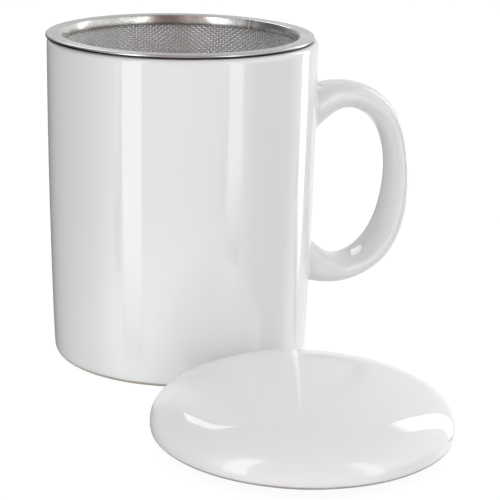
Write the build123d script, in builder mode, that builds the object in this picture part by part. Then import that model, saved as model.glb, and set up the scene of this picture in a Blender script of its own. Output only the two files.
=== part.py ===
from build123d import *
import math
import os

os.makedirs("parts", exist_ok=True)

# ---------------------------------------------------------------------------
# Lidded tea mug with a drop-in infuser.  Millimetres, +Z up.
# Origin: centre of the mug's foot ring on the table.  The handle points to +X.
# ---------------------------------------------------------------------------

# mug wall, outside
mug_height = 105.3
rim_radius = 44.0          # widest outside radius, just under the lip
upper_radius = 43.98
middle_radius = 43.72
lower_radius = 43.23
heel_radius = 42.45        # outside radius where the wall turns in to the foot
heel_height = 2.2
foot_outer = 40.6          # flat unglazed foot ring
foot_inner = 36.2
recess_depth = 1.6         # glazed recess inside the foot ring

# mug wall, inside
lip_radius = 1.85          # full round lip
lip_centre = rim_radius - lip_radius
mouth_radius = lip_centre - lip_radius
inner_low_radius = 39.4
inner_corner_height = 16.0
floor_height = 6.8

# strap handle, luted to the wall: outer and inner edge of nine sections (radius, height)
handle_outer = [
    (41.50, 84.13), (49.49, 88.35), (63.27, 87.59), (74.69, 79.00), (79.93, 63.43),
    (80.58, 43.99), (72.64, 25.88), (57.09, 18.77), (41.00, 20.94),
]
handle_inner = [
    (41.50, 68.96), (52.46, 78.32), (60.56, 79.09), (68.44, 74.06), (73.77, 62.54),
    (73.03, 45.23), (66.86, 32.42), (56.17, 27.66), (41.00, 39.20),
]
handle_half_width = [9.0, 8.0, 7.6, 7.4, 7.2, 7.45, 7.75, 8.3, 9.5]
handle_squareness = 2.4    # 2 is an ellipse, more is squarer
root_key = 0.6             # how far the handle's root is keyed into the wall

# infuser, hanging by its flange on the lip and lying a little off the mug's axis
infuser_x = -0.83
infuser_y = 0.26
flange_top = 106.6
sheet = 0.45               # steel sheet thickness
bend_centre_radius = 38.9  # centre of the bend between flange and collar
bend_radius = 1.0
collar_inner = bend_centre_radius - bend_radius
collar_outer = collar_inner + sheet
collar_bottom = 103.4
bead_radius = 0.55         # rolled outer edge
bead_centre = 42.94
mesh_thickness = 0.5
mesh_outer = collar_outer + mesh_thickness
mesh_top = 105.0
clamp_thickness = 0.3
clamp_bottom = 102.6
hoop_bottom = 31.0
hoop_sheet = 0.4
hoop_top = 34.6
hoop_lip_radius = 35.2
mesh_bottom = hoop_bottom + hoop_sheet
mesh_low_inner = 36.7      # the basket narrows a little towards its base
mesh_low_outer = mesh_low_inner + mesh_thickness
mesh_slope = (mesh_outer - mesh_low_outer) / (clamp_bottom - mesh_bottom)
hoop_top_inner = mesh_low_outer + mesh_slope * (hoop_top - mesh_bottom)

# lid, lying on its locating ring in front of the mug
lid_x = 10.3
lid_y = -88.75
lid_radius = 44.85
lid_edge_bottom = 3.6      # the rim hangs this far above the table
lid_edge_middle = 5.8
lid_crown = 20.0
lid_round = 2.0            # exponent of the dome's plan term
lid_fullness = 2.2         # root of the dome's height term: more is fuller at the shoulder
lid_wall = 3.9
ring_outer = 36.9          # drops into the collar, which is 37.9
ring_inner = 34.2


def dome(radius, outer_radius, base, height):
    """Height of a full-shouldered dome at a radius."""
    share = max(0.0, 1.0 - (radius / outer_radius) ** lid_round)
    return base + height * share ** (1.0 / lid_fullness)


# --- mug body ---------------------------------------------------------------
with BuildPart() as mug_body:
    with BuildSketch(Plane.XZ) as mug_section:
        with BuildLine():
            Line((0, recess_depth), (foot_inner - 1.2, recess_depth))
            Line((foot_inner - 1.2, recess_depth), (foot_inner, 0))
            Line((foot_inner, 0), (foot_outer, 0))
            Bezier((foot_outer, 0), (heel_radius - 0.25, 0.1), (heel_radius, heel_height))
            Spline(
                (heel_radius, heel_height),
                (lower_radius, 26.6),
                (middle_radius, 53.0),
                (upper_radius, 79.5),
                (rim_radius, mug_height - lip_radius),
                tangents=[(0.05, 1.0), (0.0, 1.0)],
            )
            ThreePointArc(
                (rim_radius, mug_height - lip_radius),
                (lip_centre, mug_height),
                (mouth_radius, mug_height - lip_radius),
            )
            Line(
                (mouth_radius, mug_height - lip_radius),
                (inner_low_radius, inner_corner_height),
            )
            Bezier(
                (inner_low_radius, inner_corner_height),
                (inner_low_radius - 0.14, floor_height + 0.3),
                (inner_low_radius - 9.5, floor_height),
            )
            Line((inner_low_radius - 9.5, floor_height), (0, floor_height - 0.3))
            Line((0, floor_height - 0.3), (0, recess_depth))
        make_face()
    revolve(axis=Axis.Z)
mug_body.part.label = "mug_body"
export_step(mug_body.part, "parts/mug_body.step")

# --- mug handle -------------------------------------------------------------
with BuildPart() as mug_handle:
    for (x_out, z_out), (x_in, z_in), half_width in zip(
        handle_outer, handle_inner, handle_half_width
    ):
        x_mid, z_mid = (x_out + x_in) / 2, (z_out + z_in) / 2
        half = math.hypot(x_out - x_in, z_out - z_in) / 2
        across = Vector(x_out - x_in, 0, z_out - z_in).normalized()
        along = across.cross(Vector(0, 1, 0))
        ring = []
        for step in range(16):
            turn = 2 * math.pi * step / 16
            c, s = math.cos(turn), math.sin(turn)
            ring.append(
                (
                    half * math.copysign(abs(c) ** (2 / handle_squareness), c),
                    half_width * math.copysign(abs(s) ** (2 / handle_squareness), s),
                )
            )
        with BuildSketch(
            Plane(origin=(x_mid, 0, z_mid), x_dir=across, z_dir=along)
        ):
            with BuildLine():
                Spline(*ring, periodic=True)
            make_face()
    loft()
    with BuildSketch(Plane.XZ) as handle_root_trim:
        with BuildLine():
            Polyline((0, 0), (heel_radius - root_key, 0))
            Spline(
                (heel_radius - root_key, 0),
                (lower_radius - root_key, 26.6),
                (middle_radius - root_key, 53.0),
                (upper_radius - root_key, 79.5),
                (rim_radius - root_key, mug_height - lip_radius),
            )
            Polyline(
                (rim_radius - root_key, mug_height - lip_radius),
                (0, mug_height - lip_radius),
                (0, 0),
            )
        make_face()
    revolve(axis=Axis.Z, mode=Mode.SUBTRACT)
mug_handle.part.label = "mug_handle"
export_step(mug_handle.part, "parts/mug_handle.step")

# --- infuser rim: flat flange, rolled outer bead, bend and collar -------------
infuser_plane = Plane(origin=(infuser_x, infuser_y, 0), x_dir=(1, 0, 0), z_dir=(0, -1, 0))
infuser_axis = Axis((infuser_x, infuser_y, 0), (0, 0, 1))
bead_height = flange_top - bead_radius
sheet_under = flange_top - sheet
bead_meet = bead_centre - math.sqrt(bead_radius**2 - (sheet_under - bead_height) ** 2)
diagonal = math.sqrt(0.5)
with BuildPart() as infuser_rim:
    with BuildSketch(infuser_plane) as rim_section:
        with BuildLine():
            Line((bend_centre_radius, flange_top), (bead_centre, flange_top))
            ThreePointArc(
                (bead_centre, flange_top),
                (bead_centre + bead_radius, bead_height),
                (bead_centre, bead_height - bead_radius),
            )
            ThreePointArc(
                (bead_centre, bead_height - bead_radius),
                (bead_centre - bead_radius * diagonal, bead_height - bead_radius * diagonal),
                (bead_meet, sheet_under),
            )
            Line((bead_meet, sheet_under), (bend_centre_radius, sheet_under))
            ThreePointArc(
                (bend_centre_radius, sheet_under),
                (
                    bend_centre_radius - (bend_radius - sheet) * diagonal,
                    flange_top - bend_radius + (bend_radius - sheet) * diagonal,
                ),
                (collar_outer, flange_top - bend_radius),
            )
            Polyline(
                (collar_outer, flange_top - bend_radius),
                (collar_outer, collar_bottom),
                (collar_inner + 0.1, collar_bottom),
                (collar_inner, collar_bottom + 0.15),
                (collar_inner, flange_top - bend_radius),
            )
            ThreePointArc(
                (collar_inner, flange_top - bend_radius),
                (
                    bend_centre_radius - bend_radius * diagonal,
                    flange_top - bend_radius + bend_radius * diagonal,
                ),
                (bend_centre_radius, flange_top),
            )
        make_face()
    revolve(axis=infuser_axis)
infuser_rim.part.label = "infuser_rim"
export_step(infuser_rim.part, "parts/infuser_rim.step")

# --- clamp band: holds the wall mesh against the outside of the collar --------
with BuildPart() as clamp_band:
    with BuildSketch(infuser_plane) as band_section:
        with BuildLine():
            Polyline(
                (mesh_outer, clamp_bottom),
                (mesh_outer + clamp_thickness, clamp_bottom),
                (mesh_outer + clamp_thickness, mesh_top),
                (mesh_outer, mesh_top),
                (mesh_outer, clamp_bottom),
            )
        make_face()
    revolve(axis=infuser_axis)
clamp_band.part.label = "clamp_band"
export_step(clamp_band.part, "parts/clamp_band.step")

# --- mesh wall: rolled, slightly conical tube of woven wire -----------------------
with BuildPart() as mesh_wall:
    with BuildSketch(infuser_plane) as wall_section:
        with BuildLine():
            Polyline(
                (mesh_low_inner, mesh_bottom),
                (mesh_low_outer, mesh_bottom),
                (mesh_outer, clamp_bottom),
                (mesh_outer, mesh_top),
                (collar_outer, mesh_top),
                (collar_outer, clamp_bottom),
                (mesh_low_inner, mesh_bottom),
            )
        make_face()
    revolve(axis=infuser_axis)
mesh_wall.part.label = "mesh_wall"
export_step(mesh_wall.part, "parts/mesh_wall.step")

# --- mesh base: disc of the same woven wire -------------------------------------
with BuildPart() as mesh_base:
    with BuildSketch(Plane(origin=(infuser_x, infuser_y, mesh_bottom))) as base_section:
        Circle(mesh_low_inner)
    extrude(amount=mesh_thickness)
mesh_base.part.label = "mesh_base"
export_step(mesh_base.part, "parts/mesh_base.step")

# --- base hoop: angle ring that binds the wall mesh to the base mesh --------------
with BuildPart() as base_hoop:
    with BuildSketch(infuser_plane) as hoop_section:
        with BuildLine():
            Polyline(
                (hoop_lip_radius, hoop_bottom),
                (mesh_low_outer, hoop_bottom),
                (mesh_low_outer + clamp_thickness, hoop_bottom + 0.3),
                (hoop_top_inner + clamp_thickness, hoop_top),
                (hoop_top_inner, hoop_top),
                (mesh_low_outer, mesh_bottom),
                (hoop_lip_radius, mesh_bottom),
                (hoop_lip_radius, hoop_bottom),
            )
        make_face()
    revolve(axis=infuser_axis)
base_hoop.part.label = "base_hoop"
export_step(base_hoop.part, "parts/base_hoop.step")

# --- lid: full-shouldered dome with a locating ring underneath ---------------------
lid_plane = Plane(origin=(lid_x, lid_y, 0), x_dir=(1, 0, 0), z_dir=(0, -1, 0))
lid_axis = Axis((lid_x, lid_y, 0), (0, 0, 1))
cavity_radius = lid_radius - 3.8
cavity_height = lid_crown - lid_wall - lid_edge_middle
outer_radii = [44.6, 43.9, 42.6, 40.4, 37.0, 32.0, 25.5, 17.5, 9.0]
groove_radii = [40.8, 40.2, 39.1]
with BuildPart() as lid:
    with BuildSketch(lid_plane) as lid_section:
        with BuildLine():
            Spline(
                (lid_radius, lid_edge_middle),
                *[
                    (r, dome(r, lid_radius, lid_edge_middle, lid_crown - lid_edge_middle))
                    for r in outer_radii
                ],
                (0, lid_crown),
                tangents=[(0, 1), (-1, 0)],
            )
            Line((0, lid_crown), (0, lid_crown - lid_wall))
            Spline(
                (0, lid_crown - lid_wall),
                *[
                    (r, dome(r, cavity_radius, lid_edge_middle, cavity_height))
                    for r in (9.0, 17.5, 25.5, 30.5)
                ],
                (ring_inner, dome(ring_inner, cavity_radius, lid_edge_middle, cavity_height)),
                tangents=[(1, 0), (0.93, -0.38)],
            )
            Polyline(
                (ring_inner, dome(ring_inner, cavity_radius, lid_edge_middle, cavity_height)),
                (ring_inner, 0.5),
                (ring_inner + 0.5, 0),
                (ring_outer - 0.5, 0),
                (ring_outer, 0.5),
                (ring_outer, dome(ring_outer, cavity_radius, lid_edge_middle, cavity_height)),
            )
            Spline(
                (ring_outer, dome(ring_outer, cavity_radius, lid_edge_middle, cavity_height)),
                *[
                    (r, dome(r, cavity_radius, lid_edge_middle, cavity_height))
                    for r in reversed(groove_radii)
                ],
                (cavity_radius, lid_edge_middle),
            )
            Bezier(
                (cavity_radius, lid_edge_middle),
                (cavity_radius, lid_edge_bottom),
                (cavity_radius + 1.2, lid_edge_bottom),
            )
            Line(
                (cavity_radius + 1.2, lid_edge_bottom),
                (lid_radius - 0.9, lid_edge_bottom),
            )
            Bezier(
                (lid_radius - 0.9, lid_edge_bottom),
                (lid_radius, lid_edge_bottom),
                (lid_radius, lid_edge_middle),
            )
        make_face()
    revolve(axis=lid_axis)
lid.part.label = "lid"
export_step(lid.part, "parts/lid.step")
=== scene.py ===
import math

import bpy
import numpy as np
from mathutils import Matrix, Vector


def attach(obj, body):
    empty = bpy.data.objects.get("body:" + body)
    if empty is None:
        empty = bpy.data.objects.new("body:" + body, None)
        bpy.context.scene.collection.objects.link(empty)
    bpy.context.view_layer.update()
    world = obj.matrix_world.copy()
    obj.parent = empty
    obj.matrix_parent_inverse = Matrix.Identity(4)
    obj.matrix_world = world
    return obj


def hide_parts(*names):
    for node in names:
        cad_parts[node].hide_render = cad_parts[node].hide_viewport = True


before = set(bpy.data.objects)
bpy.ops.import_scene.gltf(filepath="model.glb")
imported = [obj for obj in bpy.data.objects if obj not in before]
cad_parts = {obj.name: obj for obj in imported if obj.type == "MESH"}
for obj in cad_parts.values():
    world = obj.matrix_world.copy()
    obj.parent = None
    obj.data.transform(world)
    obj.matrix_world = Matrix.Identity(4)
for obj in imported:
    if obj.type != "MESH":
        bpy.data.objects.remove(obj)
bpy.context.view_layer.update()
scene = bpy.context.scene
MM = 0.001

# ---------------------------------------------------------------------------
# camera: measured in a frame whose +Y points away from the viewer, then turned
# with the object by TURN.  Millimetres and radians.
# ---------------------------------------------------------------------------
TURN = 0.30
FOCAL_PIXELS, FRAME_PIXELS = 1650.0, 500.0
DISTANCE, HEIGHT = 532.33, 190.99
YAW, PITCH, ROLL = 0.0435, 0.2874, 0.022


def to_object(v):
    c, s = math.cos(TURN), math.sin(TURN)
    return Vector((v[0] * c + v[1] * s, -v[0] * s + v[1] * c, v[2]))


ahead = Vector(
    (math.sin(YAW) * math.cos(PITCH), math.cos(YAW) * math.cos(PITCH), -math.sin(PITCH))
)
right = Vector((math.cos(YAW), -math.sin(YAW), 0.0))
above = right.cross(ahead)
camera_x = to_object(right * math.cos(ROLL) + above * math.sin(ROLL))
camera_y = to_object(-right * math.sin(ROLL) + above * math.cos(ROLL))
camera_z = -to_object(ahead)
camera_data = bpy.data.cameras.new("camera")
camera_data.sensor_width = 36.0
camera_data.sensor_fit = "HORIZONTAL"
camera_data.lens = FOCAL_PIXELS / FRAME_PIXELS * 36.0
camera_data.clip_start, camera_data.clip_end = 0.05, 50.0
camera = bpy.data.objects.new("camera", camera_data)
scene.collection.objects.link(camera)
placed = Matrix((camera_x, camera_y, camera_z)).transposed().to_4x4()
placed.translation = to_object((0.0, -DISTANCE, HEIGHT)) * MM
camera.matrix_world = placed
scene.camera = camera

# ---------------------------------------------------------------------------
# dimensions, as in the CAD source (mm)
# ---------------------------------------------------------------------------
MUG_HEIGHT, RIM_RADIUS, LIP = 105.3, 44.0, 1.85
WALL = [(42.45, 2.2), (43.23, 26.6), (43.72, 53.0), (43.98, 79.5), (44.0, 103.45)]
INFUSER = (-0.83, 0.26)
LID = (10.3, -88.75)
LID_RADIUS, LID_EDGE, LID_BOTTOM, LID_CROWN, LID_WALL = 44.85, 5.8, 3.6, 20.0, 3.9
LID_FULLNESS = 2.2
RING_OUTER, RING_INNER = 36.9, 34.2
FLANGE_TOP, SHEET = 106.6, 0.45
BEND_CENTRE, BEND = 38.9, 1.0
COLLAR_IN, COLLAR_OUT, COLLAR_BOTTOM = 37.9, 38.35, 103.4
BEAD_CENTRE, BEAD = 42.94, 0.55
CLAMP_BOTTOM, MESH_TOP, MESH_BOTTOM = 102.6, 105.0, 31.4
HOOP_BOTTOM, HOOP_TOP, HOOP_LIP = 31.0, 34.6, 35.2
SEAM = math.radians(35.0)  # where the collar, clamp band and wall mesh are joined
REFLECTION_PATCH_ANGLE = math.radians(79.5)  # where a dark warm patch is painted on the inside of the collar, a painted reflection of the dark gap between the front lights


# ---------------------------------------------------------------------------
# curves and meshes
# ---------------------------------------------------------------------------
def cubic(ts, values, at, start=None, end=None):
    """A cubic spline through values, read at other places: natural ends unless a slope is given."""
    ts, values, at = np.asarray(ts, float), np.asarray(values, float), np.asarray(at, float)
    n = len(ts)
    h = np.diff(ts)
    slope = np.diff(values) / h
    a = np.zeros((n, n))
    b = np.zeros(n)
    for i in range(1, n - 1):
        a[i, i - 1], a[i, i], a[i, i + 1] = h[i - 1], 2 * (h[i - 1] + h[i]), h[i]
        b[i] = 6 * (slope[i] - slope[i - 1])
    if start is None:
        a[0, 0] = 1
    else:
        a[0, 0], a[0, 1], b[0] = 2 * h[0], h[0], 6 * (slope[0] - start)
    if end is None:
        a[-1, -1] = 1
    else:
        a[-1, -1], a[-1, -2], b[-1] = 2 * h[-1], h[-1], 6 * (end - slope[-1])
    m = np.linalg.solve(a, b)
    i = np.clip(np.searchsorted(ts, at) - 1, 0, n - 2)
    left, right_, hi = at - ts[i], ts[i + 1] - at, h[i]
    return (
        m[i] * right_**3 / (6 * hi)
        + m[i + 1] * left**3 / (6 * hi)
        + (values[i] / hi - m[i] * hi / 6) * right_
        + (values[i + 1] / hi - m[i + 1] * hi / 6) * left
    )


def bezier(a, b, c, n):
    """Points on a quadratic curve, without its first."""
    t = np.linspace(0, 1, n + 1)[1:, None]
    a, b, c = (np.asarray(p, float) for p in (a, b, c))
    return (1 - t) ** 2 * a + 2 * t * (1 - t) * b + t**2 * c


def arc(centre, radius, start, stop, n):
    """Points on an arc, both ends included, angles in degrees."""
    t = np.radians(np.linspace(start, stop, n))
    return np.stack([centre[0] + radius * np.cos(t), centre[1] + radius * np.sin(t)], 1)


def rounded(corners, steps=5, guard=0.12):
    """A closed section from (r, z, corner radius): each corner becomes an arc with a guard point on either side."""
    p = np.array([c[:2] for c in corners], float)
    out = []
    for i, (_, _, radius) in enumerate(corners):
        here, before, after = p[i], p[i - 1], p[(i + 1) % len(p)]
        u = (before - here) / np.linalg.norm(before - here)
        v = (after - here) / np.linalg.norm(after - here)
        half = math.acos(max(-1.0, min(1.0, float(u @ v)))) / 2
        cut = radius / math.tan(half)
        centre = here + (u + v) / np.linalg.norm(u + v) * radius / math.sin(half)
        a, b = here + u * cut - centre, here + v * cut - centre
        turn = math.atan2(a[0] * b[1] - a[1] * b[0], float(a @ b))
        out.append(here + u * (cut + guard))
        for k in range(steps + 1):
            t = turn * k / steps
            c, s = math.cos(t), math.sin(t)
            out.append(centre + np.array([a[0] * c - a[1] * s, a[0] * s + a[1] * c]))
        out.append(here + v * (cut + guard))
    return np.array(out)


def mesh_object(name, points, quads=None, triangles=None, uv=None):
    """A smooth-shaded mesh from points in mm.  uv is one pair per point."""
    me = bpy.data.meshes.new(name)
    groups = [np.asarray(g, np.int64) for g in (quads, triangles) if g is not None and len(g)]
    loops = np.concatenate([g.ravel() for g in groups])
    sizes = np.concatenate([np.full(len(g), g.shape[1]) for g in groups])
    me.vertices.add(len(points))
    me.vertices.foreach_set("co", (np.asarray(points, np.float64) * MM).astype(np.float32).ravel())
    me.loops.add(len(loops))
    me.loops.foreach_set("vertex_index", loops.astype(np.int32))
    me.polygons.add(len(sizes))
    me.polygons.foreach_set(
        "loop_start", np.concatenate([[0], np.cumsum(sizes)[:-1]]).astype(np.int32)
    )
    me.polygons.foreach_set("use_smooth", np.ones(len(sizes), bool))
    me.update(calc_edges=True)
    if uv is not None:
        layer = me.uv_layers.new(name="OFBake")
        layer.data.foreach_set("uv", np.asarray(uv, np.float32)[loops].ravel())
    me.validate()
    o = bpy.data.objects.new(name, me)
    scene.collection.objects.link(o)
    return o


def lathe(name, section, centre=(0.0, 0.0), turns=256, closed=True, push=None):
    """Turns a section (r, z) round a vertical axis.  An open section starts and ends on the axis.
    turns is a count or a list of angles.  push(angle, r, z) may return a change of radius."""
    section = np.asarray(section, float)
    r, z = section[:, 0], section[:, 1]
    area = np.sum(r * np.roll(z, -1) - np.roll(r, -1) * z)
    if area > 0:
        r, z = r[::-1], z[::-1]
    angles = np.linspace(0, 2 * np.pi, turns, endpoint=False) if np.isscalar(turns) else turns
    n = len(angles)
    if not closed:
        ends = (z[0], z[-1])
        r, z = r[1:-1], z[1:-1]
    rr = np.repeat(r[:, None], n, 1)
    zz = np.repeat(z[:, None], n, 1)
    aa = np.repeat(angles[None, :], len(r), 0)
    if push is not None:
        rr = rr + push(aa, rr, zz)
    points = np.stack(
        [centre[0] + rr * np.cos(aa), centre[1] + rr * np.sin(aa), zz], -1
    ).reshape(-1, 3)
    rows = len(r)
    i = np.arange(rows if closed else rows - 1)
    j = np.arange(n)
    i, j = (g.ravel() for g in np.meshgrid(i, j, indexing="ij"))
    i2, j2 = (i + 1) % rows, (j + 1) % n
    quads = np.stack([i * n + j, i2 * n + j, i2 * n + j2, i * n + j2], 1)
    triangles = None
    if not closed:
        first, last = len(points), len(points) + 1
        points = np.concatenate(
            [points, [[centre[0], centre[1], ends[0]], [centre[0], centre[1], ends[1]]]]
        )
        k = np.arange(n)
        k2 = (k + 1) % n
        start = np.stack([np.full(n, first), k, k2], 1)
        stop = np.stack([np.full(n, last), (rows - 1) * n + k2, (rows - 1) * n + k], 1)
        triangles = np.concatenate([start, stop])
    return mesh_object(name, points, quads, triangles)


def tubes(paths, e1, e2, radius, closed, sides=6):
    """Round wires along paths (wire, sample, 3), with e1 and e2 across them.  Returns points, quads and cap polygons."""
    w, s = paths.shape[:2]
    angles = np.radians(30) + np.arange(sides) * 2 * np.pi / sides
    c, d = np.cos(angles), np.sin(angles)
    points = (
        paths[:, :, None, :]
        + radius * (c[None, None, :, None] * e1[:, :, None, :] + d[None, None, :, None] * e2[:, :, None, :])
    )
    index = np.arange(w * s * sides).reshape(w, s, sides)
    if closed:
        ahead_ = np.roll(index, -1, 1)
        here = index
    else:
        ahead_ = index[:, 1:]
        here = index[:, :-1]
    quads = np.stack(
        [here, np.roll(here, -1, 2), np.roll(ahead_, -1, 2), ahead_], -1
    ).reshape(-1, 4)
    caps = []
    if not closed:
        for row, order in ((index[:, 0], -1), (index[:, -1], 1)):
            row = row[:, ::order]
            for k in range(1, sides - 1):
                caps.append(np.stack([row[:, 0], row[:, k], row[:, k + 1]], 1))
    return points.reshape(-1, 3), quads, (np.concatenate(caps) if caps else None)


# ---------------------------------------------------------------------------
# materials
# ---------------------------------------------------------------------------
class Nodes:
    """A short way to write a node tree."""

    def __init__(self, name):
        self.material = bpy.data.materials.new(name)
        self.material.use_nodes = True
        self.tree = self.material.node_tree
        self.tree.nodes.clear()
        self.shader = self.add("ShaderNodeBsdfPrincipled")
        out = self.add("ShaderNodeOutputMaterial")
        self.tree.links.new(self.shader.outputs[0], out.inputs[0])
        self.place = self.add("ShaderNodeTexCoord").outputs["Object"]

    def add(self, kind, **settings):
        node = self.tree.nodes.new(kind)
        for k, v in settings.items():
            setattr(node, k, v)
        return node

    def feed(self, socket, value):
        if isinstance(value, bpy.types.NodeSocket):
            self.tree.links.new(value, socket)
        else:
            socket.default_value = value

    def set(self, **values):
        for k, v in values.items():
            self.feed(self.shader.inputs[k.replace("_", " ")], v)

    def math(self, operation, a, b=0.0, c=0.0, clamp=False):
        node = self.add("ShaderNodeMath", operation=operation, use_clamp=clamp)
        self.feed(node.inputs[0], a)
        self.feed(node.inputs[1], b)
        self.feed(node.inputs[2], c)
        return node.outputs[0]

    def scaled(self, x, y, z, shift=(0.0, 0.0, 0.0), source=None):
        node = self.add("ShaderNodeMapping")
        self.feed(node.inputs["Vector"], source or self.place)
        node.inputs["Scale"].default_value = (x, y, z)
        node.inputs["Location"].default_value = shift
        return node.outputs[0]

    def noise(self, vector, scale=1.0, detail=2.0, roughness=0.5, distortion=0.0):
        node = self.add("ShaderNodeTexNoise")
        self.feed(node.inputs["Vector"], vector)
        node.inputs["Scale"].default_value = scale
        node.inputs["Detail"].default_value = detail
        node.inputs["Roughness"].default_value = roughness
        node.inputs["Distortion"].default_value = distortion
        return node.outputs["Fac"]

    def spread(self, value, low, high, to_low, to_high, smooth=False):
        node = self.add("ShaderNodeMapRange")
        node.interpolation_type = "SMOOTHSTEP" if smooth else "LINEAR"
        node.clamp = True
        self.feed(node.inputs["Value"], value)
        self.feed(node.inputs["From Min"], low)
        self.feed(node.inputs["From Max"], high)
        self.feed(node.inputs["To Min"], to_low)
        self.feed(node.inputs["To Max"], to_high)
        return node.outputs["Result"]

    def mix(self, share, a, b):
        node = self.add("ShaderNodeMix", data_type="RGBA")
        self.feed(node.inputs["Factor"], share)
        sockets = [s for s in node.inputs if s.type == "RGBA"]
        self.feed(sockets[0], a)
        self.feed(sockets[1], b)
        return [s for s in node.outputs if s.type == "RGBA"][0]

    def blend(self, share, a, b):
        return self.math("ADD", self.math("MULTIPLY", share, self.math("SUBTRACT", b, a)), a)

    def axis(self):
        node = self.add("ShaderNodeSeparateXYZ")
        self.feed(node.inputs[0], self.place)
        return node.outputs[0], node.outputs[1], node.outputs[2]

    def bump(self, height, distance, strength=1.0, normal=None):
        node = self.add("ShaderNodeBump")
        node.inputs["Strength"].default_value = strength
        node.inputs["Distance"].default_value = distance
        self.feed(node.inputs["Height"], height)
        if normal is not None:
            self.feed(node.inputs["Normal"], normal)
        return node.outputs[0]

    def ring_place(self, centre, along=1.0, across=1.0):
        """(radius * across, cos * along, sin * along) round a vertical axis, so that noise runs in circles without a seam."""
        x, y, z = self.axis()
        dx = self.math("SUBTRACT", x, centre[0] * MM)
        dy = self.math("SUBTRACT", y, centre[1] * MM)
        r = self.math("SQRT", self.math("ADD", self.math("MULTIPLY", dx, dx), self.math("MULTIPLY", dy, dy)))
        node = self.add("ShaderNodeCombineXYZ")
        self.feed(node.inputs[0], self.math("MULTIPLY", r, across))
        self.feed(node.inputs[1], self.math("MULTIPLY", self.math("DIVIDE", dx, r), along))
        self.feed(node.inputs[2], self.math("MULTIPLY", self.math("DIVIDE", dy, r), along))
        return node.outputs[0], r, z


GLAZE = (0.797, 0.812, 0.818)


def porcelain(name, biscuit_top, seed, glaze_and_light_gain, clay_in_shade, shade_from, gloss):
    """White glaze with faint waves and pinpricks, over raw clay below biscuit_top: the clay is pale low down
    and above a given height takes a dark tone of painted shade, the shadow along the bottom edge."""
    n = Nodes(name)
    x, y, z = n.axis()
    shift = (seed, seed * 0.7, seed * 1.3)
    waves = n.noise(n.scaled(1, 1, 0.7, shift), scale=42, detail=1.0)
    peel = n.noise(n.scaled(1, 1, 1, shift), scale=520, detail=2.0)
    tone = n.noise(n.scaled(1, 1, 0.5, shift), scale=24, detail=3.0)
    edge = n.noise(n.scaled(1, 1, 1, shift), scale=130, detail=3.0)
    line = n.math("ADD", z, n.math("MULTIPLY", n.math("SUBTRACT", edge, 0.5), 0.0003))
    raw = n.spread(line, (biscuit_top - 0.12) * MM, (biscuit_top + 0.12) * MM, 1.0, 0.0)
    grit = n.noise(n.scaled(1, 1, 1, shift), scale=2600, detail=4.0, roughness=0.7)
    glaze = n.mix(n.spread(tone, 0.3, 0.7, 0.0, 1.0), *((*(c * k for c in GLAZE), 1) for k in (glaze_and_light_gain, glaze_and_light_gain * 0.983)))
    # thin glaze lets a little of the warm clay through just above the raw edge
    thin = n.spread(line, biscuit_top * MM, (biscuit_top + 1.2) * MM, 0.3, 0.0, smooth=True)
    glaze = n.mix(thin, glaze, (0.74, 0.72, 0.67, 1))
    # the dark clay tone is painted shade: above the given height the raw edge takes it, standing in for the shadow
    # under the foot and the lid's rim
    clay = n.mix(n.spread(grit, 0.3, 0.7, 0.0, 1.0), (*clay_in_shade, 1), (*(c * 1.22 for c in clay_in_shade), 1))
    painted_shade = n.spread(z, shade_from * MM, (shade_from + 0.15) * MM, 0.0, 1.0)
    unshaded_clay = n.mix(n.spread(grit, 0.3, 0.7, 0.0, 1.0), (0.56, 0.545, 0.51, 1), (0.63, 0.615, 0.585, 1))
    n.set(Base_Color=n.mix(raw, glaze, n.mix(painted_shade, unshaded_clay, clay)))
    n.set(Roughness=n.blend(raw, n.spread(tone, 0.25, 0.75, *gloss), 0.85))
    n.set(IOR=1.6)
    n.shader.inputs["Specular IOR Level"].default_value = 0.5
    low = n.bump(waves, 0.00012, 0.5)
    fine = n.bump(peel, 0.0000012, 0.6, low)
    rough = n.bump(n.math("MULTIPLY", grit, raw), 0.00006, 0.8, fine)
    n.set(Normal=rough)
    return n.material


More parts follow.
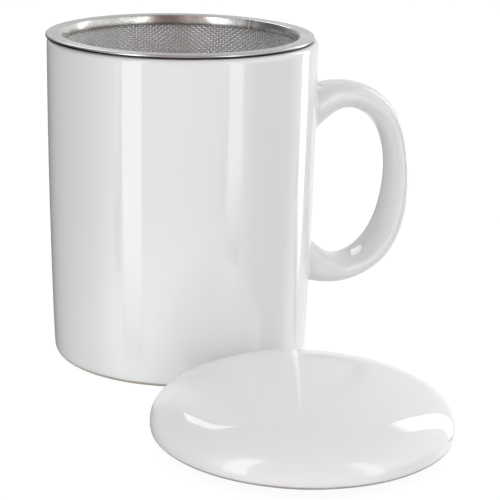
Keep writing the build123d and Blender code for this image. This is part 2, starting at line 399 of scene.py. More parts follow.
def steel_turned(name, centre):
    """Sheet steel turned on a lathe: fine rings spread a highlight across them.  The drawn collar is
    brighter and grainy, tinted where it is welded, darker towards its lower edge with painted shade, and with a dark
    warm patch on its far inside that is a painted reflection; the folded underside is painted near black as shade."""
    n = Nodes(name)
    rings, r, z = n.ring_place(centre, along=1.2, across=14000.0)
    brushed = n.noise(rings, scale=1.0, detail=3.0, roughness=0.6)
    patches, r2, z2 = n.ring_place(centre, along=5.0, across=120.0)
    patch = n.noise(patches, scale=1.0, detail=2.0, roughness=0.5)
    grain = n.noise(n.scaled(1, 1, 1.3), scale=1500, detail=3.0, roughness=0.65)
    smudge = n.noise(n.scaled(1, 1, 1.6), scale=95, detail=4.0, roughness=0.6)
    collar = n.spread(r, 38.6 * MM, 39.0 * MM, 1.0, 0.0, smooth=True)
    flat_tone = n.mix(n.spread(smudge, 0.3, 0.7, 0.0, 1.0), (0.58, 0.577, 0.572, 1), (0.50, 0.496, 0.49, 1))
    wall_tone = n.mix(n.spread(grain, 0.38, 0.62, 0.0, 1.0), (0.84, 0.83, 0.81, 1), (0.60, 0.585, 0.56, 1))
    wall_tone = n.mix(n.spread(patch, 0.4, 0.65, 0.0, 0.45), wall_tone, (0.42, 0.39, 0.35, 1))
    # painted shade: the collar darkens towards its lower edge, where it meets the mesh
    collar_low_shade = n.spread(n.math("ADD", z, n.math("MULTIPLY", n.math("SUBTRACT", patch, 0.5), 0.0006)), 103.85 * MM, 104.4 * MM, 0.5, 0.0, smooth=True)
    wall_tone = n.mix(collar_low_shade, wall_tone, (0.29, 0.275, 0.255, 1))
    # heat tint beside the butt weld, and the weld itself
    x, y, _ = n.axis()
    c, d = math.cos(SEAM), math.sin(SEAM)
    dx = n.math("SUBTRACT", x, centre[0] * MM)
    dy = n.math("SUBTRACT", y, centre[1] * MM)
    aside = n.math("ABSOLUTE", n.math("SUBTRACT", n.math("MULTIPLY", dy, c), n.math("MULTIPLY", dx, d)))
    near = n.math("GREATER_THAN", n.math("ADD", n.math("MULTIPLY", dx, c), n.math("MULTIPLY", dy, d)), 0.0)
    tint = n.math("MULTIPLY", n.spread(aside, 0.3 * MM, 3.2 * MM, 0.7, 0.0, smooth=True), near)
    wall_tone = n.mix(tint, wall_tone, (0.30, 0.235, 0.165, 1))
    # painted reflection: a dark warm patch on the collar's far inside, standing in for the reflection of the dark gap
    # between the front lights
    c, d = math.cos(REFLECTION_PATCH_ANGLE), math.sin(REFLECTION_PATCH_ANGLE)
    along = n.math("ADD", n.math("MULTIPLY", dx, c), n.math("MULTIPLY", dy, d))
    off = n.math("ABSOLUTE", n.math("SUBTRACT", n.math("MULTIPLY", dy, c), n.math("MULTIPLY", dx, d)))
    off = n.math("ADD", off, n.math("MULTIPLY", n.math("SUBTRACT", patch, 0.5), 0.006))
    painted_reflection = n.math("MULTIPLY", n.spread(off, 2.0 * MM, 8.0 * MM, 0.8, 0.0, smooth=True), n.math("GREATER_THAN", along, 0.0))
    wall_tone = n.mix(painted_reflection, wall_tone, (0.25, 0.205, 0.175, 1))
    bead = n.math("MULTIPLY", n.spread(aside, 0.14 * MM, 0.3 * MM, 0.8, 0.0, smooth=True), near)
    wall_tone = n.mix(bead, wall_tone, (0.85, 0.84, 0.82, 1))
    tone = n.mix(collar, flat_tone, wall_tone)
    # painted shade: the flange's underside and the bead's lower half are painted near black, standing in for the
    # shadowed gap between the bead and the mug's lip
    facing = n.add("ShaderNodeSeparateXYZ")
    n.feed(facing.inputs[0], n.add("ShaderNodeNewGeometry").outputs["Normal"])
    under = n.math("MULTIPLY", n.spread(facing.outputs[2], -0.12, 0.02, 1.0, 0.0), n.spread(r, 39.6 * MM, 40.0 * MM, 0.0, 1.0))
    n.set(Base_Color=n.mix(under, tone, (0.05, 0.047, 0.045, 1)), Metallic=1.0)
    flat = n.spread(brushed, 0.3, 0.7, 0.24, 0.34)
    drawn = n.spread(grain, 0.3, 0.7, 0.2, 0.32)
    n.set(Roughness=n.blend(under, n.blend(collar, flat, drawn), 0.6))
    n.set(Anisotropic=0.8, Anisotropic_Rotation=0.25)
    tangent = n.add("ShaderNodeTangent", direction_type="RADIAL", axis="Z")
    n.set(Tangent=tangent.outputs[0])
    fine = n.bump(n.math("MULTIPLY", brushed, n.math("SUBTRACT", 1.0, collar)), 0.0000025, 0.8)
    n.set(Normal=n.bump(n.math("MULTIPLY", grain, collar), 0.00001, 0.6, fine))
    return n.material


def steel_trim(name, centre):
    """Thin rolled strip steel."""
    n = Nodes(name)
    lines = n.noise(n.scaled(60, 60, 6000), scale=1.0, detail=3.0, roughness=0.6)
    smudge = n.noise(n.scaled(1, 1, 1), scale=110, detail=4.0)
    n.set(Metallic=1.0)
    n.set(Base_Color=n.mix(n.spread(smudge, 0.3, 0.7, 0.0, 1.0), (0.60, 0.595, 0.585, 1), (0.50, 0.49, 0.475, 1)))
    n.set(Roughness=n.spread(lines, 0.3, 0.7, 0.2, 0.34))
    n.set(Normal=n.bump(lines, 0.000003, 0.8))
    return n.material


def steel_wire(name):
    """Drawn steel wire, a little uneven in tone."""
    n = Nodes(name)
    tone = n.noise(n.scaled(1, 1, 1), scale=130, detail=3.0)
    n.set(Metallic=1.0)
    n.set(Base_Color=n.mix(n.spread(tone, 0.3, 0.7, 0.0, 1.0), (0.97, 0.965, 0.96, 1), (0.88, 0.87, 0.86, 1)))
    n.set(Roughness=n.spread(tone, 0.3, 0.7, 0.08, 0.16))
    return n.material


# the dark clay tones given here are painted shade along the mug's foot and the lid's lower edge
mug_glaze = porcelain("glazed_porcelain_mug", 1.28, 0.0, 1.0, (0.37, 0.345, 0.295), 0.04, (0.04, 0.07))
# painted light: the lid's glaze is the mug's glaze made 7.5% lighter, for the brighter light on the lid
lid_glaze = porcelain("glazed_porcelain_lid", 4.42, 5.3, 1.075, (0.345, 0.335, 0.32), 3.3, (0.018, 0.035))
flange_steel = steel_turned("turned_sheet_steel", INFUSER)
strip_steel = steel_trim("rolled_strip_steel", INFUSER)
wire_steel = steel_wire("drawn_steel_wire")


def finish_piece(o, material, body, node):
    o.data.materials.append(material)
    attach(o, body)
    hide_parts(node)
    return o


# ---------------------------------------------------------------------------
# mug
# ---------------------------------------------------------------------------
def wall_radius(z):
    return cubic([p[1] for p in WALL], [p[0] for p in WALL], z, start=0.05, end=0.0)


heights = np.linspace(2.2, 103.45, 72)
section = [np.array([[0.0, 1.6], [10.0, 1.6], [22.0, 1.6], [33.4, 1.6]])]
section.append(bezier((33.4, 1.6), (35.2, 1.6), (35.6, 0.8), 6))
section.append(np.array([[35.95, 0.18]]))
section.append(bezier((35.95, 0.18), (36.05, 0.0), (36.35, 0.0), 4))
section.append(np.array([[36.5, 0.0], [40.45, 0.0], [40.6, 0.0]]))
section.append(bezier((40.6, 0.0), (42.2, 0.1), (42.45, 2.2), 14))
section.append(np.stack([wall_radius(heights), heights], 1)[1:])
section.append(arc((RIM_RADIUS - LIP, MUG_HEIGHT - LIP), LIP, 0, 180, 25)[1:])
inner = np.linspace(0, 1, 26)[1:, None]
section.append((1 - inner) * np.array([[40.3, 103.45]]) + inner * np.array([[39.4, 16.0]]))
section.append(bezier((39.4, 16.0), (39.26, 7.1), (29.9, 6.8), 16))
section.append(np.array([[20.0, 6.7], [10.0, 6.6], [0.0, 6.5]]))
cup = lathe("cup_body", np.concatenate(section), turns=288, closed=False)
finish_piece(cup, mug_glaze, "mug", "mug_body")

HANDLE_OUTER = [
    (41.50, 84.13), (49.49, 88.35), (63.27, 87.59), (74.69, 79.00), (79.93, 63.43),
    (80.58, 43.99), (72.64, 25.88), (57.09, 18.77), (41.00, 20.94),
]
HANDLE_INNER = [
    (41.50, 68.96), (52.46, 78.32), (60.56, 79.09), (68.44, 74.06), (73.77, 62.54),
    (73.03, 45.23), (66.86, 32.42), (56.17, 27.66), (41.00, 39.20),
]
HANDLE_HALF = [9.0, 8.0, 7.6, 7.4, 7.2, 7.45, 7.75, 8.3, 9.5]
HANDLE_SQUARE = 2.4
HANDLE_FLARE = 2.2


def handle_mesh():
    outer, inner_ = np.array(HANDLE_OUTER), np.array(HANDLE_INNER)
    middle = (outer + inner_) / 2
    knots = np.concatenate([[0], np.cumsum(np.linalg.norm(np.diff(middle, axis=0), axis=1))])
    total = knots[-1]
    # stations crowd towards the roots, where the clay flares into the wall
    u = np.linspace(0, 1, 190)
    at = total * (u - 0.62 * np.sin(2 * np.pi * u) / (2 * np.pi))
    xo, zo = (cubic(knots, outer[:, k], at) for k in (0, 1))
    xi, zi = (cubic(knots, inner_[:, k], at) for k in (0, 1))
    half_width = cubic(knots, HANDLE_HALF, at)
    across = np.stack([xo - xi, zo - zi], 1)
    half = np.linalg.norm(across, axis=1) / 2
    across = across / (2 * half[:, None])
    sides = 72
    t = np.arange(sides) * 2 * np.pi / sides
    power = 2 / HANDLE_SQUARE
    cu = np.sign(np.cos(t)) * np.abs(np.cos(t)) ** power
    su = np.sign(np.sin(t)) * np.abs(np.sin(t)) ** power
    a = half[:, None] * cu[None, :]
    b = half_width[:, None] * su[None, :]
    # outward direction in the section's own plane
    na = np.sign(cu) * np.abs(cu) ** (HANDLE_SQUARE - 1) / half[:, None]
    nb = np.sign(su) * np.abs(su) ** (HANDLE_SQUARE - 1) / half_width[:, None]
    norm = np.hypot(na, nb)
    na, nb = na / norm, nb / norm

    def points_of(a_, b_):
        x = ((xo + xi) / 2)[:, None] + across[:, 0:1] * a_
        z = ((zo + zi) / 2)[:, None] + across[:, 1:2] * a_
        return x, b_, z

    x, y, z = points_of(a, b)
    gap = np.hypot(x, y) - wall_radius(np.clip(z, 2.2, 103.4))
    d = np.clip(HANDLE_FLARE - np.maximum(gap, 0.0), 0.0, HANDLE_FLARE)
    flare = HANDLE_FLARE - np.sqrt(HANDLE_FLARE**2 - d**2)
    x, y, z = points_of(a + na * flare, b + nb * flare)
    points = np.stack([x, y, z], -1).reshape(-1, 3)
    rows = len(at)
    i, j = (g.ravel() for g in np.meshgrid(np.arange(rows - 1), np.arange(sides), indexing="ij"))
    j2 = (j + 1) % sides
    quads = np.stack([i * sides + j, i * sides + j2, (i + 1) * sides + j2, (i + 1) * sides + j], 1)
    first, last = len(points), len(points) + 1
    points = np.concatenate([points, [points[:sides].mean(0)], [points[-sides:].mean(0)]])
    k = np.arange(sides)
    k2 = (k + 1) % sides
    caps = np.concatenate(
        [
            np.stack([np.full(sides, first), k2, k], 1),
            np.stack([np.full(sides, last), (rows - 1) * sides + k, (rows - 1) * sides + k2], 1),
        ]
    )
    return mesh_object("cup_handle", points, quads, caps)


handle = handle_mesh()
finish_piece(handle, mug_glaze, "mug", "mug_handle")

# ---------------------------------------------------------------------------
# lid
# ---------------------------------------------------------------------------
def dome(r, outer_r, base, height):
    return base + height * np.maximum(0.0, 1.0 - (r / outer_r) ** 2) ** (1.0 / LID_FULLNESS)


lean = np.linspace(0, 1, 60)
shoulder = LID_RADIUS * np.sin(lean * np.pi / 2)
crown = LID_CROWN - LID_EDGE
cavity, cavity_height = LID_RADIUS - 3.8, LID_CROWN - LID_WALL - LID_EDGE
top = np.stack([shoulder, dome(shoulder, LID_RADIUS, LID_EDGE, crown)], 1)
top[0, 0] = 0.0
under = np.linspace(cavity, RING_OUTER + 0.5, 12)
under = np.stack([under, dome(under, cavity, LID_EDGE, cavity_height)], 1)
ceiling = np.linspace(RING_INNER - 0.6, 0, 24)
ceiling = np.stack([ceiling, dome(ceiling, cavity, LID_EDGE, cavity_height)], 1)
outside_z = float(dome(RING_OUTER, cavity, LID_EDGE, cavity_height))
inside_z = float(dome(RING_INNER, cavity, LID_EDGE, cavity_height))
section = [top]
section.append(bezier((LID_RADIUS, LID_EDGE), (LID_RADIUS, LID_BOTTOM), (LID_RADIUS - 0.9, LID_BOTTOM), 12))
section.append(np.array([[LID_RADIUS - 1.2, LID_BOTTOM], [cavity + 1.5, LID_BOTTOM], [cavity + 1.2, LID_BOTTOM]]))
section.append(bezier((cavity + 1.2, LID_BOTTOM), (cavity, LID_BOTTOM), (cavity, LID_EDGE), 8))
section.append(under[1:])
section.append(bezier(under[-1], (RING_OUTER, outside_z), (RING_OUTER, outside_z - 0.6), 5))
section.append(np.array([[RING_OUTER, 4.0], [RING_OUTER, 0.75]]))
section.append(bezier((RING_OUTER, 0.75), (RING_OUTER, 0.0), (RING_OUTER - 0.75, 0.0), 6))
section.append(np.array([[RING_INNER + 0.75, 0.0]]))
section.append(bezier((RING_INNER + 0.75, 0.0), (RING_INNER, 0.0), (RING_INNER, 0.75), 6))
section.append(np.array([[RING_INNER, 4.0], [RING_INNER, inside_z - 0.6]]))
section.append(bezier((RING_INNER, inside_z - 0.6), (RING_INNER, inside_z), ceiling[0], 5))
section.append(ceiling[1:])
lid_piece = lathe("lid_dome", np.concatenate(section), centre=LID, turns=288, closed=False)
finish_piece(lid_piece, lid_glaze, "lid", "lid")

# ---------------------------------------------------------------------------
# infuser: flange and collar
# ---------------------------------------------------------------------------
bead_z = FLANGE_TOP - BEAD
under_z = FLANGE_TOP - SHEET
meet = BEAD_CENTRE - math.sqrt(BEAD**2 - (under_z - bead_z) ** 2)
meet_angle = math.degrees(math.atan2(under_z - bead_z, meet - BEAD_CENTRE)) % 360
section = [
    np.array([[39.05, FLANGE_TOP], [39.25, FLANGE_TOP], [41.0, FLANGE_TOP], [BEAD_CENTRE - 0.2, FLANGE_TOP]]),
    arc((BEAD_CENTRE, bead_z), BEAD, 90, meet_angle - 360, 20),
    np.array([[meet - 0.15, under_z], [40.4, under_z], [39.8, under_z]]),
    bezier((39.8, under_z), (39.2, under_z), (38.85, 105.85), 6),
    bezier((38.85, 105.85), (38.4, 105.4), (COLLAR_OUT, 104.95), 6),
    np.array([[COLLAR_OUT, COLLAR_BOTTOM + 0.2]]),
    arc((COLLAR_OUT - 0.12, COLLAR_BOTTOM + 0.12), 0.12, 0, -90, 5),
    arc((COLLAR_IN + 0.15, COLLAR_BOTTOM + 0.15), 0.15, -90, -180, 5),
    np.array([[COLLAR_IN, 103.7], [COLLAR_IN, 103.95]]),
    bezier((COLLAR_IN, 103.95), (COLLAR_IN + 0.02, 105.25), (38.53, 106.26), 16),
    bezier((38.53, 106.26), (38.73, FLANGE_TOP), (39.05, FLANGE_TOP), 9)[:-1],
]


def seam_angles(turns, half=0.035, extra=40):
    """Angles round the ring, with more of them at the welded seam."""
    even = np.linspace(0, 2 * np.pi, turns, endpoint=False)
    keep = np.abs((even - SEAM + np.pi) % (2 * np.pi) - np.pi) > half
    dense = (SEAM + np.linspace(-half, half, extra)) % (2 * np.pi)
    return np.sort(np.concatenate([even[keep], dense]))


def weld(angle, r, z):
    """The butt weld down the collar's inside, and the sheet's slight unevenness near it."""
    arc_mm = ((angle - SEAM + np.pi) % (2 * np.pi) - np.pi) * COLLAR_IN
    inside = np.clip((COLLAR_IN + 0.3 - r) / 0.3, 0, 1) * np.clip((105.4 - z) / 0.3, 0, 1)
    ridge = -0.05 * np.exp(-((arc_mm / 0.16) ** 2)) + 0.03 * np.exp(-((arc_mm / 0.5) ** 2))
    return inside * ridge


flange = lathe("flange_and_collar", np.concatenate(section), centre=INFUSER, turns=seam_angles(360), push=weld)
finish_piece(flange, flange_steel, "infuser", "infuser_rim")

# ---------------------------------------------------------------------------
# infuser: clamp band and base hoop
# ---------------------------------------------------------------------------
def strap(angle, r, z):
    """The band's lapped end and its spot welds."""
    arc_mm = ((angle - SEAM + np.pi) % (2 * np.pi) - np.pi) * 39.0
    lap = 0.28 * (1 / (1 + np.exp(np.clip(-(arc_mm + 4.0) / 0.06, -60, 60)))) * (1 / (1 + np.exp(np.clip((arc_mm - 4.0) / 0.35, -60, 60))))
    count = 28
    off = ((angle * count / (2 * np.pi)) % 1.0 - 0.5) * 2 * np.pi / count * 39.0
    dent = 0.07 * np.exp(-((off / 0.55) ** 2) - ((z - 103.8) / 0.55) ** 2)
    return np.where(r > 39.0, lap - dent, 0.0)


band = rounded([(38.85, CLAMP_BOTTOM, 0.1), (39.15, CLAMP_BOTTOM, 0.12), (39.15, MESH_TOP, 0.12), (38.85, MESH_TOP, 0.1)], 3, 0.05)
rows = []
for a, b in zip(band, np.roll(band, -1, 0)):
    n = max(1, int(np.linalg.norm(b - a) / 0.16))
    rows += [a + (b - a) * k / n for k in range(n)]
clamp = lathe("clamp_strap", rows, centre=INFUSER, turns=seam_angles(720, 0.12, 90), push=strap)
finish_piece(clamp, strip_steel, "infuser", "clamp_band")

mesh_slope = (38.85 - 37.2) / (CLAMP_BOTTOM - MESH_BOTTOM)
hoop_in = 37.2 + mesh_slope * (HOOP_TOP - MESH_BOTTOM)
hoop_section = rounded(
    [
        (HOOP_LIP, HOOP_BOTTOM, 0.12),
        (37.5, HOOP_BOTTOM, 0.55),
        (hoop_in + 0.3, HOOP_TOP, 0.12),
        (hoop_in + 0.02, HOOP_TOP, 0.1),
        (37.22, MESH_BOTTOM, 0.1),
        (HOOP_LIP, MESH_BOTTOM, 0.1),
    ],
    5,
    0.05,
)
hoop = lathe("base_ring", hoop_section, centre=INFUSER, turns=seam_angles(360))
finish_piece(hoop, strip_steel, "infuser", "base_hoop")

# ---------------------------------------------------------------------------
# infuser: woven wire wall and base
# ---------------------------------------------------------------------------
WIRE, SWING = 0.14, 0.115
PITCH_ROUND, PITCH_UP = 1.02, 0.73
UPRIGHTS = 236
WALL_LOW, WALL_HIGH = 31.55, 104.9
RINGS = int((WALL_HIGH - WALL_LOW) / PITCH_UP) + 1


def mesh_radius(z):
    """Middle of the woven wall."""
    return np.where(z > CLAMP_BOTTOM, 38.6, 38.6 - mesh_slope * (CLAMP_BOTTOM - z))


def cylinder_uv(points, start, span):
    angle = np.arctan2(points[:, 1] - INFUSER[1], points[:, 0] - INFUSER[0])
    u = ((angle - start) % (2 * np.pi)) / span
    v = (points[:, 2] - 31.0) / (MESH_TOP + 0.4 - 31.0)
    return np.stack([np.clip(u * 0.98 + 0.01, 0, 1), np.clip(v * 0.98 + 0.01, 0, 1)], 1)


def upright_wires(name, first, last):
    k = np.arange(first, last)
    theta = 2 * np.pi * k / UPRIGHTS
    step = np.arange(2 * RINGS - 1)
    z = WALL_LOW + 0.1 + step * PITCH_UP / 2
    swing = SWING * np.cos(np.pi * step[None, :] / 2 + np.pi * k[:, None])
    r = mesh_radius(z)[None, :] + swing
    c, s = np.cos(theta)[:, None], np.sin(theta)[:, None]
    paths = np.stack([INFUSER[0] + r * c, INFUSER[1] + r * s, np.broadcast_to(z, r.shape)], -1)
    e1 = np.broadcast_to(np.stack([c, s, 0 * c], -1), paths.shape)
    e2 = np.broadcast_to(np.stack([-s, c, 0 * c], -1), paths.shape)
    points, quads, caps = tubes(paths, e1, e2, WIRE, False)
    margin = 0.5 * 2 * np.pi / UPRIGHTS
    uv = cylinder_uv(points, theta[0] - margin, theta[-1] - theta[0] + 2 * margin)
    return mesh_object(name, points, quads, caps, uv)


def round_wires(name, first, last):
    j = np.arange(first, last)
    z = WALL_LOW + 0.1 + j * PITCH_UP
    step = np.arange(2 * UPRIGHTS)
    theta = np.pi * step / UPRIGHTS
    swing = -SWING * np.cos(np.pi * step[None, :] / 2 + np.pi * j[:, None])
    r = mesh_radius(z)[:, None] + swing
    c, s = np.cos(theta)[None, :], np.sin(theta)[None, :]
    paths = np.stack([INFUSER[0] + r * c, INFUSER[1] + r * s, np.broadcast_to(z[:, None], r.shape)], -1)
    e1 = np.broadcast_to(np.stack([c, s, 0 * c], -1), paths.shape)
    e2 = np.zeros_like(paths)
    e2[..., 2] = -1.0
    points, quads, caps = tubes(paths, e1, e2, WIRE, True)
    n = len(points) // len(j)
    uv = cylinder_uv(points, 0.0, 2 * np.pi)
    low, high = z[0] - 0.3, z[-1] + 0.3
    uv[:, 1] = 0.01 + 0.98 * (points[:, 2] - low) / (high - low)
    # the ring's first sample closes it, so its faces don't run back across the map
    uv[:, 0] = 0.01 + 0.98 * np.tile(np.repeat(step, 6) / (2 * UPRIGHTS), len(j))
    return mesh_object(name, points, quads, caps, uv)


thirds = [0, 79, 158, UPRIGHTS]
for letter, a, b in zip("abc", thirds, thirds[1:]):
    piece = upright_wires(f"wall_wires_upright_{letter}", a, b)
    finish_piece(piece, wire_steel, "infuser", "mesh_wall")
levels = [0, RINGS // 3, 2 * RINGS // 3, RINGS]
for letter, a, b in zip("abc", levels, levels[1:]):
    piece = round_wires(f"wall_wires_round_{letter}", a, b)
    finish_piece(piece, wire_steel, "infuser", "mesh_wall")


def base_wires(name, along_x):
    """One set of the base's wires: parallel wires cut to the disc, each weaving over and under the other set."""
    own, other = (PITCH_UP, PITCH_ROUND) if along_x else (PITCH_ROUND, PITCH_UP)
    reach = 36.55
    count = int(reach / own)
    points, quads, caps, base = [], [], [], 0
    for k in range(-count, count + 1):
        off = k * own
        m = int(math.sqrt(max(reach**2 - off**2, 0.0)) / other * 2)
        if m < 4:
            continue
        step = np.arange(-m, m + 1)
        run = step * other / 2
        # step is even at a crossing with the other set's wire step / 2
        lift = SWING * np.cos(np.pi * step / 2 + np.pi * k) * (1 if along_x else -1)
        z = MESH_BOTTOM + 0.25 + lift
        x, y = (run, np.full(len(run), off)) if along_x else (np.full(len(run), off), run)
        path = np.stack([INFUSER[0] + x, INFUSER[1] + y, z], -1)[None]
        e1 = np.zeros_like(path)
        e1[..., 2] = 1.0
        e2 = np.zeros_like(path)
        e2[..., 1 if along_x else 0] = -1.0 if along_x else 1.0
        p, q, c = tubes(path, e1, e2, WIRE, False)
        points.append(p)
        quads.append(q + base)
        caps.append(c + base)
        base += len(p)
    points = np.concatenate(points)
    uv = np.stack([(points[:, 0] - INFUSER[0]) / 76 + 0.5, (points[:, 1] - INFUSER[1]) / 76 + 0.5], 1)
    return mesh_object(name, points, np.concatenate(quads), np.concatenate(caps), uv)


for name, along_x in (("base_wires_x", True), ("base_wires_y", False)):
    finish_piece(base_wires(name, along_x), wire_steel, "infuser", "mesh_base")

# ---------------------------------------------------------------------------
# floor, background and soft studio light
# ---------------------------------------------------------------------------
def disc(name, radius, z):
    n = 96
    t = np.arange(n) * 2 * np.pi / n
    ring = np.stack([radius * np.cos(t), radius * np.sin(t), np.full(n, z)], 1)
    points = np.concatenate([ring, [[0, 0, z]]])
    k = np.arange(n)
    return mesh_object(name, points, None, np.stack([np.full(n, n), k, (k + 1) % n], 1))


def glow(name, strength, colour=(1.0, 1.0, 1.0), edges=None):
    """A plain emitting material.  edges are the soft shares of the card's width (left, right) and height (low, high)."""
    material = bpy.data.materials.new(name)
    material.use_nodes = True
    tree = material.node_tree
    tree.nodes.clear()
    emission = tree.nodes.new("ShaderNodeEmission")
    emission.inputs[0].default_value = (*colour, 1.0)
    emission.inputs[1].default_value = strength
    out = tree.nodes.new("ShaderNodeOutputMaterial")
    tree.links.new(emission.outputs[0], out.inputs[0])
    if edges:
        uv = tree.nodes.new("ShaderNodeUVMap")
        parts = tree.nodes.new("ShaderNodeSeparateXYZ")
        tree.links.new(uv.outputs[0], parts.inputs[0])
        value = None
        for axis, width, flip in ((0, edges[0], False), (0, edges[1], True), (1, edges[2], False), (1, edges[3], True)):
            ramp = tree.nodes.new("ShaderNodeMapRange")
            ramp.interpolation_type = "SMOOTHSTEP"
            tree.links.new(parts.outputs[axis], ramp.inputs["Value"])
            low, high = (1.0, 1.0 - width) if flip else (0.0, width)
            ramp.inputs["From Min"].default_value = low
            ramp.inputs["From Max"].default_value = high
            ramp.inputs["To Max"].default_value = strength if value is None else 1.0
            if value is None:
                value = ramp.outputs["Result"]
            else:
                times = tree.nodes.new("ShaderNodeMath")
                times.operation = "MULTIPLY"
                tree.links.new(value, times.inputs[0])
                tree.links.new(ramp.outputs["Result"], times.inputs[1])
                value = times.outputs[0]
        tree.links.new(value, emission.inputs[1])
    return material


# the floor that shows, and a plain one under it that only passes its light on
floor = disc("floor", 6000.0, 0.0)
floor_nodes = Nodes("pale_floor")
floor_nodes.set(Base_Color=(0.18, 0.18, 0.18, 1), Roughness=0.9)
floor_nodes.shader.inputs["Specular IOR Level"].default_value = 0.0
floor_nodes.shader.inputs["Emission Color"].default_value = (1, 1, 1, 1)
floor_nodes.shader.inputs["Emission Strength"].default_value = 0.90
floor.data.materials.append(floor_nodes.material)
floor.visible_glossy = floor.visible_diffuse = floor.visible_shadow = False
bounce = disc("floor_bounce", 3000.0, -0.05)
bounce_nodes = Nodes("floor_bounce")
bounce_nodes.set(Base_Color=(0.55, 0.55, 0.55, 1), Roughness=1.0)
bounce_nodes.shader.inputs["Specular IOR Level"].default_value = 0.0
bounce_nodes.shader.inputs["Emission Color"].default_value = (1, 1, 1, 1)
bx, by, bz = bounce_nodes.axis()
aside = bounce_nodes.math(
    "SUBTRACT", bounce_nodes.math("MULTIPLY", bx, math.cos(TURN)), bounce_nodes.math("MULTIPLY", by, math.sin(TURN))
)
aside = bounce_nodes.math("ABSOLUTE", bounce_nodes.math("SUBTRACT", aside, 5 * MM))
nearer = bounce_nodes.math(
    "ADD", bounce_nodes.math("MULTIPLY", bx, math.sin(TURN)), bounce_nodes.math("MULTIPLY", by, math.cos(TURN))
)
bounce_nodes.feed(
    bounce_nodes.shader.inputs["Emission Strength"],
    bounce_nodes.math(
        "MULTIPLY",
        bounce_nodes.spread(aside, 60 * MM, 170 * MM, 0.36, 0.06, smooth=True),
        bounce_nodes.spread(nearer, -165 * MM, -125 * MM, 0.7, 1.0, smooth=True),
    ),
)
bounce.data.materials.append(bounce_nodes.material)
bounce.visible_camera = bounce.visible_glossy = False


def backdrop_dome(radius, rows=24, columns=64):
    """A pale dome over the floor that only the camera sees."""
    el = np.linspace(0, np.pi / 2, rows + 1)[:-1]
    t = np.arange(columns) * 2 * np.pi / columns
    points = np.stack(
        [
            radius * np.cos(el)[:, None] * np.cos(t)[None, :],
            radius * np.cos(el)[:, None] * np.sin(t)[None, :],
            np.repeat(radius * np.sin(el)[:, None], columns, 1),
        ],
        -1,
    ).reshape(-1, 3)
    i, j = (g.ravel() for g in np.meshgrid(np.arange(rows - 1), np.arange(columns), indexing="ij"))
    j2 = (j + 1) % columns
    quads = np.stack([i * columns + j, (i + 1) * columns + j, (i + 1) * columns + j2, i * columns + j2], 1)
    k = np.arange(columns)
    last = (rows - 1) * columns
    cap = np.stack([last + k, np.full(columns, len(points)), last + (k + 1) % columns], 1)
    points = np.concatenate([points, [[0, 0, radius]]])
    return mesh_object("backdrop", points, quads, cap)


backdrop = backdrop_dome(5900.0)
backdrop.data.materials.append(glow("pale_backdrop", 1.0))
backdrop.visible_diffuse = backdrop.visible_glossy = backdrop.visible_shadow = backdrop.visible_transmission = False


def card(name, corners, strength, colour=(1.0, 1.0, 1.0), edges=(0.06, 0.06, 0.12, 0.04), seen=(True, True)):
    """A soft light.  corners are (x, y, z) in mm in the camera's frame: low left, low right, high right, high left.
    seen says whether it lights by reflection and whether it lights diffusely."""
    low_left, low_right, high_right, high_left = (np.array(list(to_object(c))) for c in corners)
    n = 8
    u, v = (g.ravel() for g in np.meshgrid(np.linspace(0, 1, n + 1), np.linspace(0, 1, n + 1)))
    points = (
        np.outer((1 - u) * (1 - v), low_left) + np.outer(u * (1 - v), low_right)
        + np.outer(u * v, high_right) + np.outer((1 - u) * v, high_left)
    )
    i, j = (g.ravel() for g in np.meshgrid(np.arange(n), np.arange(n), indexing="ij"))
    quads = np.stack([i * (n + 1) + j, i * (n + 1) + j + 1, (i + 1) * (n + 1) + j + 1, (i + 1) * (n + 1) + j], 1)
    o = mesh_object(name, points, quads, None, np.stack([u, v], 1))
    o.data.materials.append(glow(name, strength, colour, edges))
    o.visible_camera = o.visible_shadow = False
    o.visible_glossy, o.visible_diffuse = seen
    return o


def upright(left, right_, low, high):
    return [(*left, low), (*right_, low), (*right_, high), (*left, high)]


card("softbox_left", upright((-400, -338), (-261, -433), -200, 804), 3.3, edges=(0.05, 0.10, 0.12, 0.03))
card("softbox_left_edge", upright((-433, -288), (-408, -326), -130, 804), 1.8, edges=(0.2, 0.2, 0.15, 0.03))
card("softbox_right", upright((325, -433), (455, -372), -145, 662), 2.8, edges=(0.06, 0.12, 0.12, 0.03))
card("softbox_right_edge", upright((283, -464), (305, -448), -90, 662), 1.5, edges=(0.2, 0.2, 0.15, 0.03))
BACK_RIGHT = [(520, 240, -130), (300, 199, -130), (222, 199, 390), (411, 247, 548)]
card("softbox_back_right", BACK_RIGHT, 4.4, edges=(0.08, 0.08, 0.16, 0.22), seen=(True, False))
card("softbox_back_right_fill", BACK_RIGHT, 3.6, edges=(0.08, 0.08, 0.1, 0.1), seen=(False, True))
card("softbox_back_right_edge", [(566, 215, -100), (550, 235, -100), (440, 232, 530), (455, 215, 530)], 1.7, edges=(0.2, 0.2, 0.1, 0.05))
BACK_LEFT = (0.98, 0.98, 1.03)
card("softbox_back_left", [(-385, 662, 434), (-85, 790, 434), (-85, 790, 1165), (-385, 645, 1120)], 3.1, BACK_LEFT, edges=(0.001, 0.3, 0.06, 0.06))
card("softbox_back_left_end", [(-498, 590, 662), (-385, 662, 495), (-385, 645, 1120), (-502, 577, 1055)], 3.1, BACK_LEFT, edges=(0.05, 0.001, 0.06, 0.06))
# two small reflectors: between the mug and the lid, and in the handle's opening
card("fill_by_lid", [(-34, -71, 12), (-8, -73, 12), (-8, -73, 38), (-34, -71, 38)], 1.25, edges=None, seen=(False, True))
card("fill_in_handle", [(62.6, 11, 44), (57.8, 26.2, 44), (57.8, 26.2, 78), (62.6, 11, 78)], 0.94, edges=None, seen=(False, True))

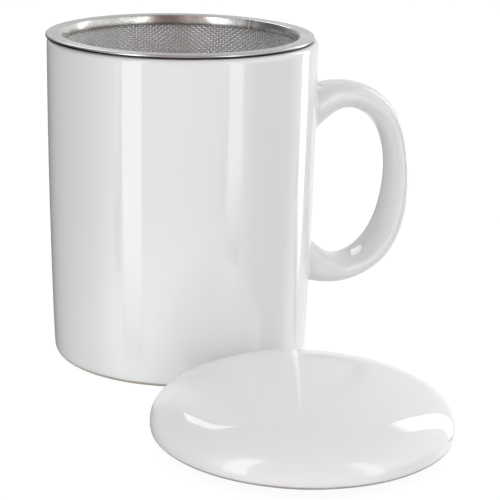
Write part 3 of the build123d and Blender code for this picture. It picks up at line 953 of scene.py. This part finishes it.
# everything further off: soft light by direction.  Each stop is (azimuth in degrees, strength, tint),
# with azimuth 0 towards the camera's side and positive to its right.
COOL, PLAIN, WARM, GREEN = (0.93, 0.97, 1.06), (1.0, 1.0, 1.0), (1.03, 0.995, 0.975), (0.985, 1.005, 0.985)
TABLE = [
    (-180, 0.95, PLAIN), (-171, 0.75, PLAIN), (-164, 0.0, COOL), (-82, 0.0, COOL), (-60, 1.05, COOL), (-20, 1.1, PLAIN),
    (20, 0.95, PLAIN), (54, 0.9, PLAIN), (61, 0.1, GREEN), (100, 0.1, GREEN), (113, 0.9, PLAIN), (134, 1.0, PLAIN), (180, 0.95, PLAIN),
]
ROOM = [
    (-180, 0.80, PLAIN), (-160, 0.45, COOL), (-140, 0.28, COOL), (-118, 0.12, COOL), (-95, 0.15, COOL), (-75, 0.6, COOL),
    (-50, 0.85, PLAIN), (-30, 0.85, PLAIN), (0, 0.58, PLAIN), (30, 1.10, PLAIN), (50, 1.35, PLAIN), (75, 1.1, GREEN),
    (110, 1.0, GREEN), (150, 0.88, PLAIN), (180, 0.80, PLAIN),
]
TOP = (0.50, 0.50, 0.505)
GAP = (-42, 35, 12, 58)  # the space between the two front softboxes: azimuths and elevations
GAP_TINT = (0.60, 0.46, 0.45)


def studio_world():
    n = Nodes.__new__(Nodes)
    holder = bpy.data.worlds.new("studio")
    holder.use_nodes = True
    n.tree = holder.node_tree
    n.tree.nodes.clear()
    n.place = n.add("ShaderNodeTexCoord").outputs["Generated"]
    x, y, z = n.axis()
    c, s = math.cos(TURN), math.sin(TURN)
    across = n.math("SUBTRACT", n.math("MULTIPLY", x, c), n.math("MULTIPLY", y, s))
    towards = n.math("SUBTRACT", n.math("MULTIPLY", x, -s), n.math("MULTIPLY", y, c))
    azimuth = n.math("MULTIPLY", n.math("ARCTAN2", across, towards), 180 / math.pi)
    elevation = n.math("MULTIPLY", n.math("ARCSINE", z), 180 / math.pi)
    share = n.math("MULTIPLY_ADD", azimuth, 1 / 360, 0.5)

    def ramp(stops):
        node = n.add("ShaderNodeValToRGB")
        n.feed(node.inputs[0], share)
        elements = node.color_ramp.elements
        while len(elements) > 1:
            elements.remove(elements[-1])
        for k, (at, strength, tint) in enumerate(stops):
            e = elements[0] if k == 0 else elements.new(at / 360 + 0.5)
            e.position = at / 360 + 0.5
            e.color = (*(strength * t for t in tint), 1.0)
        return node.outputs[0]

    def window(value, low, high, soft):
        up = n.spread(value, low - soft, low + soft, 0.0, 1.0, smooth=True)
        down = n.spread(value, high - soft, high + soft, 1.0, 0.0, smooth=True)
        return n.math("MULTIPLY", up, down)

    room = n.mix(n.spread(elevation, 32, 62, 0.0, 1.0, smooth=True), ramp(ROOM), (*TOP, 1))
    gap = n.math("MULTIPLY", window(azimuth, GAP[0], GAP[1], 5), window(elevation, GAP[2], GAP[3], 6))
    room = n.mix(gap, room, (*GAP_TINT, 1))
    under = n.add("ShaderNodeVectorMath", operation="SCALE")
    n.feed(under.inputs[0], ramp(TABLE))
    n.feed(under.inputs["Scale"], n.spread(elevation, -52, -26, 0.4, 1.0, smooth=True))
    sky = n.mix(n.spread(elevation, -3, 4, 0.0, 1.0, smooth=True), under.outputs[0], room)
    shade = n.add("ShaderNodeBackground")
    n.feed(shade.inputs[0], sky)
    out = n.add("ShaderNodeOutputWorld")
    n.tree.links.new(shade.outputs[0], out.inputs[0])
    return holder


scene.world = studio_world()

scene.view_settings.view_transform = "Standard"
scene.view_settings.look = "None"
scene.view_settings.exposure = 0.0
scene.view_settings.gamma = 1.0
